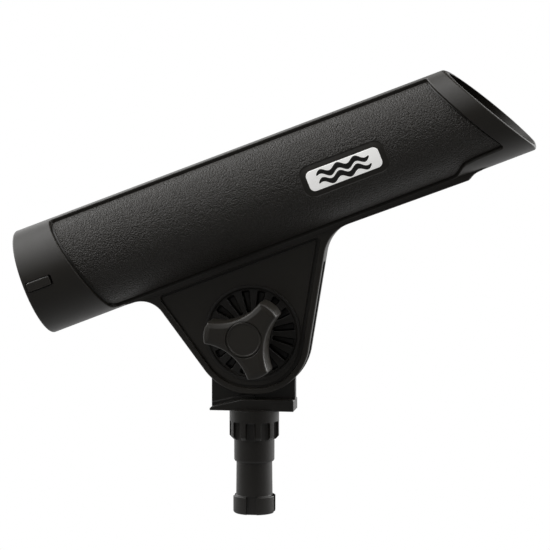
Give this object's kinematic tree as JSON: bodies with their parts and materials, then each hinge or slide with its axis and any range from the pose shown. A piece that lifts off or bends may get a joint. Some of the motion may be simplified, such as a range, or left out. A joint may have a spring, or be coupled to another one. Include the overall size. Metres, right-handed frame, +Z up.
{
  "type": "rod holder",
  "caption": "Open-mouthed tube on a toothed tilting bracket, clamped by a lobed knob to a splined post, to hold a fishing rod at a set angle.",
  "frame": {"origin": "centre of the flat underside of the post foot", "axes": "+Z up along the post, +X towards the mouth of the tube, -Y the knob side; the tube stands at 21.2 degrees above horizontal, as pictured"},
  "size_m": [0.2763, 0.0657, 0.235],
  "materials": {
    "post_nylon": "black glass-filled nylon, satin, moulded",
    "body_nylon": "black nylon, fine satin, moulded",
    "grained_panel": "black nylon, leather-grain moulded texture",
    "badge": "satin silver plate, blank",
    "cross_bar": "black nylon, smooth satin",
    "disc_nylon": "black nylon, matt",
    "knob_nylon": "black nylon, satin with bright rounded edges",
    "steel": "stainless, satin",
    "brass": "turned brass"
  },
  "bodies": {
    "post": {"post_head": "post_nylon"},
    "holder": {"holder_body": "body_nylon", "side_panel_right": "grained_panel", "side_panel_left": "grained_panel", "badge_right": "badge", "badge_left": "badge", "gimbal_bar": "cross_bar", "ratchet_disc_right": "disc_nylon", "ratchet_disc_left": "disc_nylon", "clamp_bolt": "steel", "bolt_washer": "steel"},
    "washer_carrier": {"knob_washer": "steel"},
    "knob": {"knob_body": "knob_nylon", "knob_insert": "brass", "knob_cap": "knob_nylon"}
  },
  "joints": [
    {"name": "tilt", "type": "hinge", "parent": "post", "child": "holder", "pos_m": [0, 0, 0.0964], "axis": [0, -1, 0], "range_deg": [-67, 67]},
    {"name": "knob_travel", "type": "slide", "parent": "holder", "child": "washer_carrier", "axis": [0, -1, 0], "range_m": [0, 0.00251]},
    {"name": "knob_turn", "type": "hinge", "parent": "washer_carrier", "child": "knob", "pos_m": [0, 0, 0.0964], "axis": [0, -1, 0], "range_deg": [0, 720]}
  ],
  "couplings": [
    {"joint": "knob_travel", "follows": "knob_turn", "m_per_rad": 0.00019894}
  ]
}
